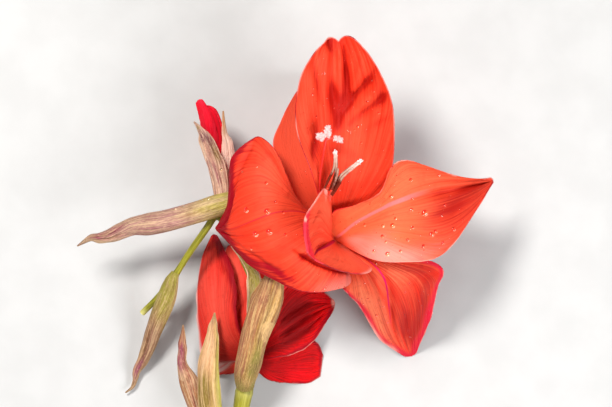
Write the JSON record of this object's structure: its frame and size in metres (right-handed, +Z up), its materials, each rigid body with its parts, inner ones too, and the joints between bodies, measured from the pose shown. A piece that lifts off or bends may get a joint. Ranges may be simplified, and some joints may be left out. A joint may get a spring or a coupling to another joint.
{
  "type": "cut gladiolus",
  "caption": "Cut gladiolus spike lying on a surface, with an open bloom facing up, a second bloom under its stem, a bud and sheathing bracts.",
  "frame": {"origin": "on the surface it lies on, under the middle of its bounding box", "axes": "+Z up from the surface, +Y along the spike from the cut end of the stem towards the blooms, +X to the right of that"},
  "size_m": [0.1535, 0.2202, 0.0763],
  "materials": {
    "petal_red": "soft satin petal with fine veins",
    "petal_deep": "soft satin petal, darker red",
    "stem": "waxy green stem",
    "bract_tan": "dry ribbed bract, mauve and brown with a pale margin",
    "bract_green": "ribbed bract, pale yellow green",
    "anther": "powdery cream anther on a pale filament",
    "style": "smooth red style with feathery pale lobes"
  },
  "bodies": {
    "root": {"stem": "stem", "open_bloom": "petal_red", "open_bloom_stamen_1": "anther", "open_bloom_stamen_2": "anther", "open_bloom_stamen_3": "anther", "open_bloom_style": "style", "second_bloom": "petal_deep", "second_bloom_stamen_1": "anther", "second_bloom_stamen_2": "anther", "second_bloom_stamen_3": "anther", "second_bloom_style": "style", "bud": "petal_deep", "open_outer_bract": "bract_tan", "open_inner_bract": "bract_green", "second_outer_bract": "bract_tan", "second_inner_bract": "bract_green", "left_bract": "bract_tan", "bud_outer_bract": "bract_tan", "bud_inner_bract": "bract_tan", "tip_bract": "bract_tan", "lower_outer_bract": "bract_tan", "lower_inner_bract": "bract_green"}
  },
  "joints": []
}
